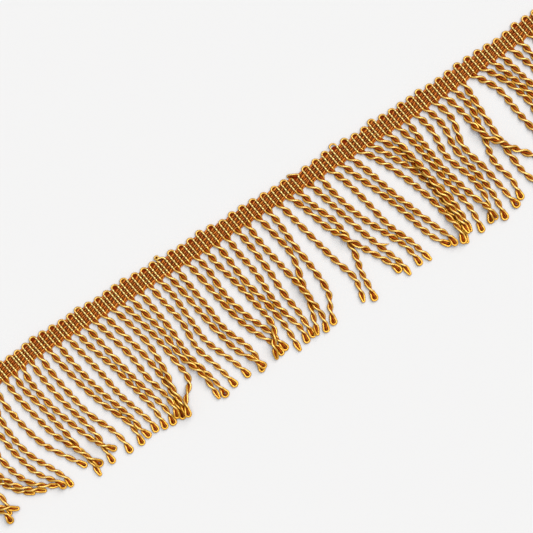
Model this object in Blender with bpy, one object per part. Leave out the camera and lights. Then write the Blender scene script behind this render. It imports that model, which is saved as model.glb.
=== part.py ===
"""Cord fringe trim lying flat: a gimp heading and a fringe of twisted cords.

Metres, +Z up.  The trim lies on z = 0 with its heading along X and its cords hanging towards -Y.
The origin is on the heading's underside, at the middle of its length.
Lengths read off the trim are in millimetres: "along" runs along the heading towards +X, and "down"
runs from the picots' tips towards the cords' ends.
"""
import math
from typing import NamedTuple

import bmesh
import bpy
from mathutils import Vector

MM = 0.001

# The heading
ALONG_MIDDLE = 29.0
HEADING_START = -168.0
HEADING_END = 226.0
HEADING_FOOT = 8.6
HEADING_THICK = 1.8
ARM_HEIGHT = 2.35
EDGE_HEIGHT = 1.3
ORIGIN_DOWN = 5.0
PICOT_HALF_WIDTH = 1.6
PICOT_SHOULDER = 0.9
PICOT_VALLEY = 1.9
PICOT_DEPTH = 1.6
MID_ROW = 5.2
ARM_SLANT = 0.17
SLANT_FADE = 12.0
PICOT_PITCH = 5.8

# The heading's gentle bow: a curve at each end of a straight stretch, and a straight run past the left one
LEFT_BOW_START = -65.0
LEFT_BOW = 0.0009
LEFT_BOW_REACH = 45.0
LEFT_RUN_SLOPE = 0.08
RIGHT_BOW_START = 90.0
RIGHT_BOW = -0.0003

# The binding row that holds the cords, a little below the heading
GAP = 0.3
BINDING_WIDTH = 1.2
BINDING_LIFT = 0.2
BINDING_HEIGHT = 2.2
BINDING_STEPS = 24

# The cords
CORD_WIDTH = 2.7
CORD_APART = 0.35
CORD_STEPS = 12
ROOT_DOWN = 9.5
NECK_LENGTH = 4.6
BULB_LENGTH = 1.9
NECK_SCALE = 0.92
TIP_SCALE = 0.62
KNOT_STEPS = 16
ROUTE_SAMPLES = 64
NEIGHBOURHOOD = 60.0
CLIMB = 0.42
SQUARE_CORNER = math.sqrt(0.5)

# How far the cords' levels lie below the picots' tips
LEVELS = (20.0, 35.0, 50.0, 62.0, 70.0)


class Cord(NamedTuple):
    """One row for each cord: where it lies at each level, where it ends and how wide its loop is."""
    name: str
    root: float
    at20: float
    at35: float
    at50: float
    at62: float
    at70: float
    tip: float
    tip_down: float
    loop: float


CORDS = (
    Cord("L9", -161.0, -160.5, -159.0, -155.5, -150.0, -144.3, -143.8, 75.8, 1.30),
    Cord("L8", -155.0, -154.6, -153.2, -150.8, -148.4, -139.3, -136.8, 71.5, 1.10),
    Cord("L7", -149.0, -148.6, -147.0, -143.8, -141.3, -141.9, -142.2, 72.0, 1.00),
    Cord("L6", -143.0, -142.8, -142.4, -140.0, -133.9, -125.6, -126.0, 69.2, 1.00),
    Cord("L5", -137.2, -137.3, -137.6, -137.0, -130.9, -121.8, -120.2, 71.2, 1.00),
    Cord("L4", -131.5, -131.7, -132.0, -130.5, -126.0, -117.3, -112.9, 72.3, 1.00),
    Cord("L3", -125.7, -125.7, -125.1, -122.9, -119.0, -113.0, -110.6, 75.0, 1.30),
    Cord("L2", -119.6, -119.8, -120.6, -118.1, -112.3, -108.5, -107.6, 76.4, 1.10),
    Cord("L1", -114.3, -114.8, -112.8, -108.8, -101.9, -96.8, -95.9, 71.6, 1.10),
    Cord("A1", -107.6, -107.4, -104.7, -101.1, -95.1, -91.3, -88.6, 75.3, 1.40),
    Cord("A2", -102.1, -102.2, -99.1, -96.2, -94.4, -92.7, -92.2, 79.4, 0.90),
    Cord("A3", -96.8, -97.4, -95.0, -90.5, -85.9, -80.3, -78.2, 72.2, 1.10),
    Cord("A4", -91.4, -91.2, -88.9, -85.4, -82.9, -83.3, -83.1, 77.6, 1.20),
    Cord("A5", -86.3, -85.7, -83.6, -80.5, -75.2, -73.0, -72.5, 77.8, 1.30),
    Cord("B1", -80.3, -79.0, -75.9, -71.3, -66.3, -64.9, -65.4, 77.6, 1.20),
    Cord("B2", -75.0, -74.0, -71.3, -67.2, -63.3, -62.0, -60.0, 76.2, 1.20),
    Cord("B3", -69.0, -67.2, -64.1, -61.8, -58.1, -55.8, -55.6, 75.8, 1.30),
    Cord("B4", -63.5, -61.7, -57.3, -53.9, -51.2, -50.6, -50.9, 77.0, 1.20),
    Cord("B5", -58.3, -56.2, -53.5, -50.4, -47.0, -45.6, -46.2, 77.5, 1.30),
    Cord("B6", -53.0, -50.3, -46.6, -45.0, -42.1, -41.5, -43.0, 75.5, 1.30),
    Cord("B7", -47.5, -44.8, -41.1, -38.9, -38.6, -39.4, -40.5, 77.4, 1.10),
    Cord("B8", -41.8, -38.7, -35.6, -35.6, -36.9, -37.2, -38.2, 76.3, 1.00),
    Cord("B9", -35.8, -33.6, -30.3, -28.4, -27.7, -34.5, -37.6, 77.9, 1.30),
    Cord("B10", -30.8, -28.9, -25.9, -24.6, -20.5, -19.6, -19.4, 78.3, 0.90),
    Cord("B11", -25.8, -23.7, -21.8, -21.3, -18.6, -16.6, -15.5, 79.6, 1.50),
    Cord("B12", -19.6, -17.6, -15.0, -15.5, -12.2, -10.2, -8.6, 77.6, 1.30),
    Cord("B13", -13.6, -11.4, -10.7, -9.6, -4.9, -2.0, -0.3, 77.0, 1.20),
    Cord("B14", -8.0, -6.5, -4.3, -1.8, 1.2, 5.7, 9.4, 77.2, 1.20),
    Cord("C1", -3.2, -1.7, 0.2, 1.9, 6.5, 8.0, 6.8, 78.5, 1.10),
    Cord("C2", 2.6, 5.3, 7.7, 10.7, 15.4, 19.4, 20.1, 76.6, 1.10),
    Cord("C3", 9.0, 10.8, 11.3, 15.1, 20.2, 22.3, 23.4, 75.6, 1.30),
    Cord("C4", 14.6, 16.4, 19.9, 22.8, 23.7, 19.0, 16.4, 77.0, 0.90),
    Cord("C5", 21.2, 22.5, 23.8, 27.2, 28.9, 29.1, 28.9, 79.6, 0.90),
    Cord("C6", 27.2, 28.6, 30.8, 30.9, 33.1, 35.2, 34.4, 78.2, 1.20),
    Cord("C7", 32.8, 35.6, 36.9, 37.2, 38.6, 38.8, 38.6, 77.4, 1.20),
    Cord("C8", 39.6, 40.8, 43.3, 46.0, 47.6, 48.2, 45.6, 78.8, 1.20),
    Cord("C9", 45.7, 48.9, 51.4, 48.5, 46.0, 43.4, 40.8, 77.6, 0.90),
    Cord("C10", 52.4, 54.4, 55.3, 57.0, 57.0, 53.3, 50.8, 77.6, 1.30),
    Cord("C11", 58.9, 62.0, 65.3, 68.8, 72.3, 71.4, 69.9, 75.8, 0.90),
    Cord("D1", 66.0, 70.1, 75.0, 83.2, 89.9, 93.5, 93.9, 72.8, 1.30),
    Cord("D2", 71.8, 74.3, 79.6, 79.5, 77.0, 76.4, 75.5, 78.4, 1.30),
    Cord("D3", 78.4, 81.4, 85.4, 90.0, 94.3, 96.9, 97.6, 76.6, 0.90),
    Cord("D4", 84.8, 86.5, 90.7, 97.3, 103.0, 104.6, 105.0, 75.2, 1.20),
    Cord("D5", 90.8, 95.3, 98.7, 101.8, 106.8, 109.0, 110.6, 75.8, 0.90),
    Cord("D6", 97.3, 101.6, 107.7, 112.7, 116.0, 119.8, 123.4, 74.6, 1.20),
    Cord("D7", 103.6, 107.4, 111.7, 117.1, 121.6, 124.8, 125.7, 76.2, 1.30),
    Cord("D8", 109.5, 116.1, 122.6, 127.4, 129.8, 131.3, 129.6, 77.6, 1.20),
    Cord("D9", 115.8, 121.6, 128.6, 131.8, 132.3, 132.8, 131.2, 78.4, 1.00),
    Cord("D10", 121.9, 126.3, 131.2, 135.3, 136.5, 136.3, 135.9, 74.4, 1.00),
    Cord("D11", 127.1, 129.3, 132.0, 133.5, 134.2, 134.3, 134.4, 74.3, 1.00),
    Cord("E1", 132.8, 135.1, 137.3, 139.6, 141.9, 141.8, 140.9, 77.8, 1.30),
    Cord("E2", 138.9, 139.0, 140.4, 143.7, 147.3, 149.9, 150.3, 76.0, 1.20),
    Cord("E3", 144.4, 146.4, 145.7, 150.4, 151.9, 149.6, 147.0, 76.2, 1.20),
    Cord("E4", 150.4, 152.7, 151.6, 154.2, 155.6, 155.5, 154.5, 78.8, 1.40),
    Cord("E5", 156.4, 158.4, 155.7, 159.0, 161.1, 162.2, 163.4, 76.6, 1.50),
    Cord("E6", 162.4, 164.7, 167.4, 177.4, 186.5, 190.0, 190.5, 74.0, 1.20),
    Cord("E7", 168.0, 169.7, 167.9, 165.0, 167.8, 167.3, 166.9, 74.2, 1.30),
    Cord("E8", 173.2, 173.2, 173.4, 173.8, 174.9, 177.2, 178.5, 76.0, 1.20),
    Cord("E9", 178.6, 186.7, 188.9, 191.5, 194.0, 196.0, 197.0, 75.5, 1.20),
    Cord("E10", 184.6, 192.8, 197.0, 195.6, 198.0, 200.0, 201.0, 76.5, 1.20),
    Cord("E11", 190.6, 196.3, 200.5, 202.0, 204.0, 205.5, 206.5, 77.0, 1.20),
    Cord("E12", 196.8, 200.7, 204.5, 207.0, 209.0, 210.5, 211.5, 76.0, 1.20),
    Cord("E13", 202.9, 207.8, 211.0, 213.0, 215.0, 216.0, 217.0, 77.0, 1.20),
    Cord("E14", 208.8, 212.2, 216.0, 218.5, 220.5, 221.5, 222.0, 76.5, 1.20),
    Cord("E15", 214.8, 219.0, 222.0, 224.5, 226.0, 227.0, 227.5, 77.0, 1.20),
    Cord("E16", 220.8, 225.0, 228.0, 230.0, 231.5, 232.5, 233.0, 76.5, 1.20),
)

# Which cord lies over which, each pair as (upper, lower)
OVER = (
    ("L8", "L7"), ("L9", "L7"), ("L3", "L4"), ("L5", "L6"), ("L4", "L5"),
    ("A1", "A2"), ("A3", "A4"), ("B6", "B7"), ("B6", "B8"), ("B9", "B8"), ("B10", "B11"),
    ("B14", "C1"), ("C4", "C3"), ("C4", "C2"), ("C3", "C2"), ("C8", "C9"), ("D1", "D2"),
    ("D11", "D10"), ("D11", "D9"), ("D10", "D9"), ("D8", "D9"), ("E2", "E3"), ("E6", "E7"),
    ("E6", "E8"), ("E11", "E10"), ("E6", "E9"),
)

# Where the picot loops stand along the heading
PICOTS = (
    -100.0, -95.3, -90.0, -85.0, -79.5, -73.5, -68.0, -62.3, -57.0, -51.3, -45.8, -40.3, -35.0, -29.3,
    -23.3, -17.8, -12.3, -7.0, -1.0, 4.5, 10.5, 16.7, 23.0, 29.5, 36.0, 42.0, 48.3, 55.0, 61.3, 67.3,
    73.5, 80.5, 86.8, 93.0, 98.8, 105.0, 111.0, 117.0, 122.6, 128.2, 134.0, 139.5, 145.3, 151.0,
    157.0, 162.8, 168.8, 175.0, 181.0, 187.0, 193.0, 198.8, 204.6, 210.4, 216.2, 222.0,
)


def bow(along):
    """How far the heading bends down, or up where negative, from a straight line."""
    if along < LEFT_BOW_START:
        reach = LEFT_BOW_START - along
        run = max(0.0, reach - LEFT_BOW_REACH)
        return LEFT_BOW * min(reach, LEFT_BOW_REACH) ** 2 + LEFT_RUN_SLOPE * run
    return RIGHT_BOW * max(0.0, along - RIGHT_BOW_START) ** 2


def place(along, down, height):
    """A point of the trim in metres."""
    return Vector(((along - ALONG_MIDDLE) * MM, (ORIGIN_DOWN - down - bow(along)) * MM, height * MM))


def picot_centres():
    """The picots read off the trim, carried on evenly to the heading's start."""
    centres = list(PICOTS)
    while centres[0] - PICOT_PITCH - PICOT_HALF_WIDTH > HEADING_START:
        centres.insert(0, centres[0] - PICOT_PITCH)
    return centres


def smooth_route(knots):
    """Points on a smooth curve through the knots, evenly spaced along it."""
    path = [knots[0] * 2 - knots[1]] + list(knots) + [knots[-1] * 2 - knots[-2]]
    dense = []
    for before, start, end, after in zip(path, path[1:], path[2:], path[3:]):
        for step in range(KNOT_STEPS):
            u = step / KNOT_STEPS
            dense.append(0.5 * (2 * start + (end - before) * u
                                + (2 * before - 5 * start + 4 * end - after) * u ** 2
                                + (3 * start - before - 3 * end + after) * u ** 3))
    dense.append(knots[-1])
    lengths = [0.0]
    for start, end in zip(dense, dense[1:]):
        lengths.append(lengths[-1] + (end - start).length)
    route = []
    spot = 0
    for step in range(ROUTE_SAMPLES + 1):
        target = lengths[-1] * step / ROUTE_SAMPLES
        while spot < len(lengths) - 2 and lengths[spot + 1] < target:
            spot += 1
        part = (target - lengths[spot]) / (lengths[spot + 1] - lengths[spot])
        route.append(dense[spot].lerp(dense[spot + 1], min(part, 1.0)))
    return route, lengths[-1]


def cord_plan(cord):
    """A cord's route seen from above, in millimetres, and its length."""
    places = (cord.at20, cord.at35, cord.at50, cord.at62, cord.at70)
    knots = [Vector((cord.root, ROOT_DOWN + bow(cord.root)))]
    knots += [Vector((along, down)) for along, down in zip(places, LEVELS) if down < cord.tip_down - 1.0]
    knots.append(Vector((cord.tip, cord.tip_down)))
    return smooth_route(knots)


def cord_heights(plans):
    """How high each cord's middle lies, laid one after another so that upper cords clear lower ones."""
    depth = {name: 0 for name in plans}
    for _ in range(len(OVER)):
        for upper, lower in OVER:
            depth[upper] = max(depth[upper], depth[lower] + 1)
    rest = CORD_WIDTH / 2
    clear = CORD_WIDTH + CORD_APART
    heights = {}
    for name in sorted(plans, key=lambda key: depth[key]):
        route, length = plans[name]
        step = length / ROUTE_SAMPLES
        raised = []
        for point in route:
            top = rest
            for other, levels in heights.items():
                if abs(plans[other][0][0].x - route[0].x) > NEIGHBOURHOOD:
                    continue
                for spot, level in zip(plans[other][0], levels):
                    apart = (spot - point).length
                    if apart < clear:
                        top = max(top, level + math.sqrt(clear ** 2 - apart ** 2))
            raised.append(top)
        for at in range(1, len(raised)):
            raised[at] = max(raised[at], raised[at - 1] - CLIMB * step)
        for at in range(len(raised) - 2, -1, -1):
            raised[at] = max(raised[at], raised[at + 1] - CLIMB * step)
        heights[name] = raised
    return heights


def fabric(name, colour, roughness):
    """A spun yarn material."""
    material = bpy.data.materials.new(name)
    material.use_nodes = True
    shader = material.node_tree.nodes["Principled BSDF"]
    shader.inputs["Base Color"].default_value = (*colour, 1.0)
    shader.inputs["Roughness"].default_value = roughness
    shader.inputs["Metallic"].default_value = 0.0
    material.diffuse_color = (*colour, 1.0)
    return material


def new_object(name, mesh, collection, material):
    """A piece of the trim in its collection, with its material."""
    piece = bpy.data.objects.new(name, mesh)
    mesh.materials.clear()
    mesh.materials.append(material)
    collection.objects.link(piece)
    return piece


def ribbed_slab(name, columns, rows, top_point, underside):
    """A flat-bottomed slab: a grid whose top points come from top_point(column, row)."""
    shape = bmesh.new()
    bmesh.ops.create_grid(shape, x_segments=columns, y_segments=rows, size=0.5)
    for vert in shape.verts:
        column = round((vert.co.x + 0.5) * columns)
        row = round((0.5 - vert.co.y) * rows)
        vert.co = top_point(column, row)
    extruded = bmesh.ops.extrude_face_region(shape, geom=list(shape.faces), use_keep_orig=True)
    for item in extruded["geom"]:
        if isinstance(item, bmesh.types.BMVert):
            item.co.z = underside
    bmesh.ops.recalc_face_normals(shape, faces=shape.faces)
    mesh = bpy.data.meshes.new(name)
    shape.to_mesh(mesh)
    shape.free()
    return mesh


def heading_columns():
    """Where each column of the heading's face stands, its top edge and its height: arm, loop, arm, gap."""
    centres = picot_centres()
    columns = [(HEADING_START, PICOT_VALLEY, HEADING_THICK)]
    for at, centre in enumerate(centres):
        following = centres[at + 1] if at + 1 < len(centres) else HEADING_END * 2 - centre
        valley = (centre + following) / 2
        columns.append((centre - PICOT_HALF_WIDTH, PICOT_SHOULDER, ARM_HEIGHT))
        columns.append((centre, 0.0, HEADING_THICK))
        columns.append((centre + PICOT_HALF_WIDTH, PICOT_SHOULDER, ARM_HEIGHT))
        columns.append((valley, PICOT_VALLEY, HEADING_THICK))
    return columns


def heading_mesh():
    """The woven heading with its scalloped picot edge and a raised rib for each gold arm."""
    columns = heading_columns()
    first, last = columns[0][0], columns[-1][0]

    def top_point(column, row):
        along, edge, height = columns[column]
        down = (edge, edge + PICOT_DEPTH, MID_ROW, HEADING_FOOT)[row]
        level = EDGE_HEIGHT if row == 0 else height
        share = (along - first) / (last - first)
        slant = ARM_SLANT * (down - edge) * min(1.0, SLANT_FADE * share, SLANT_FADE * (1 - share))
        return place(along + slant, down, level)

    return ribbed_slab("heading", len(columns) - 1, 3, top_point, 0.0)


def binding_mesh():
    """The narrow row under the heading that the cords' roots are bound into."""
    def top_point(column, row):
        along = HEADING_START + (HEADING_END - HEADING_START) * column / BINDING_STEPS
        down = HEADING_FOOT + GAP + BINDING_WIDTH * row
        return place(along, down, BINDING_HEIGHT)

    return ribbed_slab("binding", BINDING_STEPS, 1, top_point, BINDING_LIFT * MM)


def cord_mesh(cord, route, length, heights):
    """One cord: a square tube along its route, with a neck and a rounded loop at its free end."""
    body_end = 1.0 - NECK_LENGTH / length
    stations = [(body_end * step / CORD_STEPS, 1.0) for step in range(CORD_STEPS)]
    stations.append((body_end, NECK_SCALE))
    stations.append((1.0 - BULB_LENGTH / length, cord.loop))
    stations.append((1.0, TIP_SCALE * cord.loop))
    curve = bpy.data.curves.new(cord.name, "CURVE")
    curve.dimensions = "3D"
    curve.twist_mode = "Z_UP"
    curve.bevel_depth = CORD_WIDTH * SQUARE_CORNER * MM
    curve.bevel_resolution = 0
    curve.use_fill_caps = True
    spline = curve.splines.new("POLY")
    spline.points.add(len(stations) - 1)
    for point, (share, scale) in zip(spline.points, stations):
        spot = share * ROUTE_SAMPLES
        below = min(int(spot), ROUTE_SAMPLES - 1)
        plan = route[below].lerp(route[below + 1], spot - below)
        middle = heights[below] + (heights[below + 1] - heights[below]) * (spot - below)
        lift = middle + max(0.0, scale - 1.0) * CORD_WIDTH / 2
        point.co = ((plan.x - ALONG_MIDDLE) * MM, (ORIGIN_DOWN - plan.y) * MM, lift * MM, 1.0)
        point.radius = scale
        point.tilt = math.pi / 4
    tube = bpy.data.objects.new(cord.name, curve)
    bpy.context.scene.collection.objects.link(tube)
    bpy.context.view_layer.update()
    evaluated = tube.evaluated_get(bpy.context.evaluated_depsgraph_get())
    mesh = bpy.data.meshes.new_from_object(evaluated)
    shape = bmesh.new()
    shape.from_mesh(mesh)
    bmesh.ops.remove_doubles(shape, verts=shape.verts, dist=0.00001)
    bmesh.ops.recalc_face_normals(shape, faces=shape.faces)
    shape.to_mesh(mesh)
    shape.free()
    bpy.data.objects.remove(tube)
    bpy.data.curves.remove(curve)
    return mesh


def loose_cords(collection):
    """All the cords as one set of separate tubes, ready to be joined to their binding row."""
    plans = {cord.name: cord_plan(cord) for cord in CORDS}
    heights = cord_heights(plans)
    together = bmesh.new()
    for cord in CORDS:
        route, length = plans[cord.name]
        mesh = cord_mesh(cord, route, length, heights[cord.name])
        together.from_mesh(mesh)
        bpy.data.meshes.remove(mesh)
    cords = bpy.data.meshes.new("cords")
    together.to_mesh(cords)
    together.free()
    tool = bpy.data.objects.new("cords_to_bind", cords)
    tool.hide_render = True
    tool.display_type = "WIRE"
    collection.objects.link(tool)
    return tool


def build():
    """The heading, and the fringe of cords joined to their binding row in one closed body."""
    for old in list(bpy.data.objects):
        bpy.data.objects.remove(old)
    scene = bpy.context.scene
    trim = bpy.data.collections.new("cord_fringe_trim")
    cutters = bpy.data.collections.new("cutters")
    scene.collection.children.link(trim)
    scene.collection.children.link(cutters)
    rust = fabric("rust_viscose", (0.30, 0.07, 0.012), 0.55)
    gold = fabric("gold_gimp", (0.78, 0.42, 0.06), 0.45)
    new_object("heading", heading_mesh(), trim, gold)
    fringe = new_object("fringe", binding_mesh(), trim, rust)
    bind = fringe.modifiers.new("bind", "BOOLEAN")
    bind.operation = "UNION"
    bind.solver = "EXACT"
    bind.object = loose_cords(cutters)


build()
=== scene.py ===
"""Cord fringe trim: a rust and gold gimp heading with picot loops and a fringe of twisted cords.

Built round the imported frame.  Lengths read off the trim are in millimetres: "along" runs along the
heading towards +X, "down" runs from the picots' tips towards the cords' ends, and "height" is above
the surface that the trim lies on.
"""
import itertools
import math
import random
from typing import NamedTuple

import bmesh
import bpy
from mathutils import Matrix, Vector


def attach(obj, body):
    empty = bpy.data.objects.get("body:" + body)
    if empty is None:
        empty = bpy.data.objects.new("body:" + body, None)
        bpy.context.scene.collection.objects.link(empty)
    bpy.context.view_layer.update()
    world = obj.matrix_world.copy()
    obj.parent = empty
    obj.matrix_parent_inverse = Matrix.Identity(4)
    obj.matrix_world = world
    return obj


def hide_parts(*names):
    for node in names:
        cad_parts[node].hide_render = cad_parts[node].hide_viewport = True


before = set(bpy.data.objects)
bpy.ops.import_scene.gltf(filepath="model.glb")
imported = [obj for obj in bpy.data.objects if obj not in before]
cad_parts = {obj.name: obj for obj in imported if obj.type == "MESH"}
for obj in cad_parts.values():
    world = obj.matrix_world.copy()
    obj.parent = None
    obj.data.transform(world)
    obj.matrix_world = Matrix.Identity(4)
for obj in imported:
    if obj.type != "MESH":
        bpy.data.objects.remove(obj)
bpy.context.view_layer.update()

bl_info = {
    "name": "Cord fringe trim",
    "version": (1, 0, 0),
    "blender": (4, 5, 0),
    "location": "View3D > Sidebar > Trim",
    "description": "Builds a rust and gold cord fringe trim on its packed frame",
    "category": "Add Mesh",
}

MM = 0.001
PHOTO_PIXELS = 533
MM_PER_PIXEL = 0.515

# The same places as in the frame's own source
ALONG_MIDDLE = 29.0
ORIGIN_DOWN = 5.0
HEADING_START = -168.0
PICOT_PITCH = 5.8
LEFT_BOW_START = -65.0
LEFT_BOW = 0.0009
LEFT_BOW_REACH = 45.0
LEFT_RUN_SLOPE = 0.08
RIGHT_BOW_START = 90.0
RIGHT_BOW = -0.0003
LEVELS = (20.0, 35.0, 50.0, 62.0, 70.0)
KNOT_STEPS = 16
ROUTE_SAMPLES = 64
NEIGHBOURHOOD = 60.0
CLIMB = 0.42

# How cords lie: how near its end a cord's route has a knot, the height of its middle on the floor, how far it
# clears one below it, and how often its rise is eased
LAST_KNOT_GAP = 1.0
CORD_REST = 1.58
CORD_CLEAR = 3.0
EASE_PASSES = 2

# A cord's twist: how far down the trim its gold yarns first cross in front, and how far before its end they
# last do; how far from its middle its yarns run; and how unevenly
YARN_STEP = 0.95
FIRST_CROSSING = 12.8
RIGHT_SOONER = 1.1
LAST_CROSSING = 6.3
LAST_CROSSING_NARROW = 6.4
ROOT_SETTLE = 3.2
GOLD_REACH = 1.4
PLY_REACH = 0.16
LYING_LOW = 0.68
LENS_RANGE = (0.95, 1.06)
ANGLE_WANDER = 0.3
ANGLE_WAVES = (23.0, 9.0)
REACH_WANDER = 0.1
REACH_WAVES = (13.0, 6.0)
TWIST_SEED = 23

# How much slimmer a cord gets below its root, in the trim's left half, and near its end
SLIMMER = 0.07
SLIMS_FROM = 4.0
SLIMS_OVER = 16.0
LEFT_SLIMMER = 0.08
END_SLIMMER = 0.18
END_SLIMS_FROM = 20.0
END_SLIMS_OVER = 8.0
LEFT_FROM = 10.0
RIGHT_FROM = 70.0
SIDE_BLEND = 30.0

# A cord's looped end, which lies open and flat, or on its edge where it is narrower than EDGE_ON_LOOP
EDGE_ON_LOOP = 3.1
LOOP_SETTLE = 2.6
LOOP_NECK = 2.6
LOOP_FINE = 4.6
LOOP_SHARES = (1.0, 0.82, 0.64, 0.48, 0.34, 0.22, 0.12, 0.05)
LOOP_SLACK = 0.4
LOOP_TIGHT = 0.3
LOOP_PLY_RADIUS = 0.44
LOOP_PLY_PRESS = 0.06
LOOP_PLY_LEAST = 0.2
LOOP_PLY_NEST = 0.8

# How light the yarns are painted: each share mixes in the yarn's lighter colour, as a painted highlight on
# the gold and partly as painted light on the rust
GOLD_SHADE = 0.22
GOLD_FRONT_SHADE = 0.22
LOOP_SHADE = 0.06
LOOP_SHADE_FROM = 0.4
RUST_SHADE = 0.15
RUST_SIDE_SHADE = 0.22
ROOT_DARKENS = 0.8
ARM_SHADE = 1.3
ARM_BEAD_SHADE = 0.3
ARCH_SHADE = 0.3
SLIPPED_SHADE = 0.5
KNOT_SHADE = 0.1
RIB_SHADE = 0.76
RIB_SHADE_RANGE = (-0.3, 0.22)
RIB_LOW_SHADE = 0.16
RIB_LOW_FROM = 6.5
RIB_LOW_OVER = 3.0

# A picot's two gold arms, from its middle at the level of its shoulders, and how they lean
ARM_LEFT = -1.4
ARM_RIGHT = 1.9
ARM_MIDDLE = (ARM_LEFT + ARM_RIGHT) / 2
ARM_SPREAD = (ARM_RIGHT - ARM_LEFT) / 2
ARM_LEAN = 0.16
ARM_LEVEL = 2.2
ARM_HEIGHT = 1.92
ARM_BEAD = 0.16
ARM_BEAD_SWELL = 0.2
ARM_STEP = 0.3
ARM_STOPS = 0.45
ARM_SINKS = 1.4
USUAL_RISE = -0.2
ROOT_ABOVE_FOOT = 0.8
PICOT_HEIGHT = 1.3
ARCH_TIP = 0.37
ARCH_RADIUS = 1.5
ARCH_FULLER = 0.2
ARCH_TURNS = [math.radians(turn) for turn in (0, 18, 36, 54, 72, 90)]

# The heading's ground: how far down its foot lies at places along it, and its scalloped top
HEADING_FEET = ((-168.0, 10.1), (-90.0, 10.1), (-55.0, 10.7), (12.0, 10.5), (34.0, 10.0), (112.0, 9.4),
                (226.0, 9.7))
CORD_FOOT_DEEPER = 0.4
VALLEY = 1.7
VALLEY_FOLLOWS = 0.6
VALLEY_LOWEST = -0.6
ARCH_TOP = 0.75
ARCH_SIDE = 2.0
GROUND_COLUMNS = (-0.98, -0.5, 0.0, 0.5, 0.98)
GROUND_ROWS = 6
GROUND_TOP = 1.0
GROUND_UNDER = 0.05

# The heading's ribs: their rows, their places and sizes, and how unevenly they lie
LOWEST_ROW = 1.3
ROW_PITCH = 2.0
RIB_UNDER_ARCH = 1.1
RIB_UNDER_VALLEY = 0.5
RIB_HEIGHT = 1.15
# A rib is two strands, each with how much further down it lies, its half thickness as a share of the rib's
# thickness, and how much lower it lies and how much darker its painted shade is, the lower strand lying in
# shade
RIB_STRANDS = ((0.0, 0.35, 0.0, 0.0), (0.98, 0.26, 0.16, 0.24))
RIB_HALF_HEIGHT = 0.72
RIB_UNDER_ARM = 0.3
RIB_TILT = math.radians(19)
RIB_BOB = 0.1
RIB_ROCK = 0.1
RIB_TURN = 0.12
RIB_LENGTHS = (0.94, 1.04)
RIB_THICKNESSES = (0.94, 1.06)
RIB_SEED = 11

# Faces round and along the pieces that repeat
YARN_SIDES = 6
RIB_SEGMENTS = 8
RIB_RINGS = 6

# The floor and the light
FLOOR_SIZE = 4.0
KEY_SPREAD = math.radians(45)
KEY_RISE = math.radians(56)
KEY_TURN = math.radians(40)
TOP_SPREAD = math.radians(40)
TOP_RISE = math.radians(84)

# The camera looks straight down on the middle of the photograph
VIEW_ALONG = 37.1
VIEW_DOWN = 33.8
VIEW_ROLL = math.radians(-32.1)
VIEW_DISTANCE = 1.6
VIEW_REACH = 10.0
SENSOR = 36.0


class Cord(NamedTuple):
    """One row for each cord: where it lies at each level, where it ends, and how wide its end loop is."""
    name: str
    at20: float
    at35: float
    at50: float
    at62: float
    at70: float
    tip: float
    tip_down: float
    loop: float

    @property
    def flat(self):
        """Whether its end loop lies flat and open."""
        return self.loop > EDGE_ON_LOOP


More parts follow.
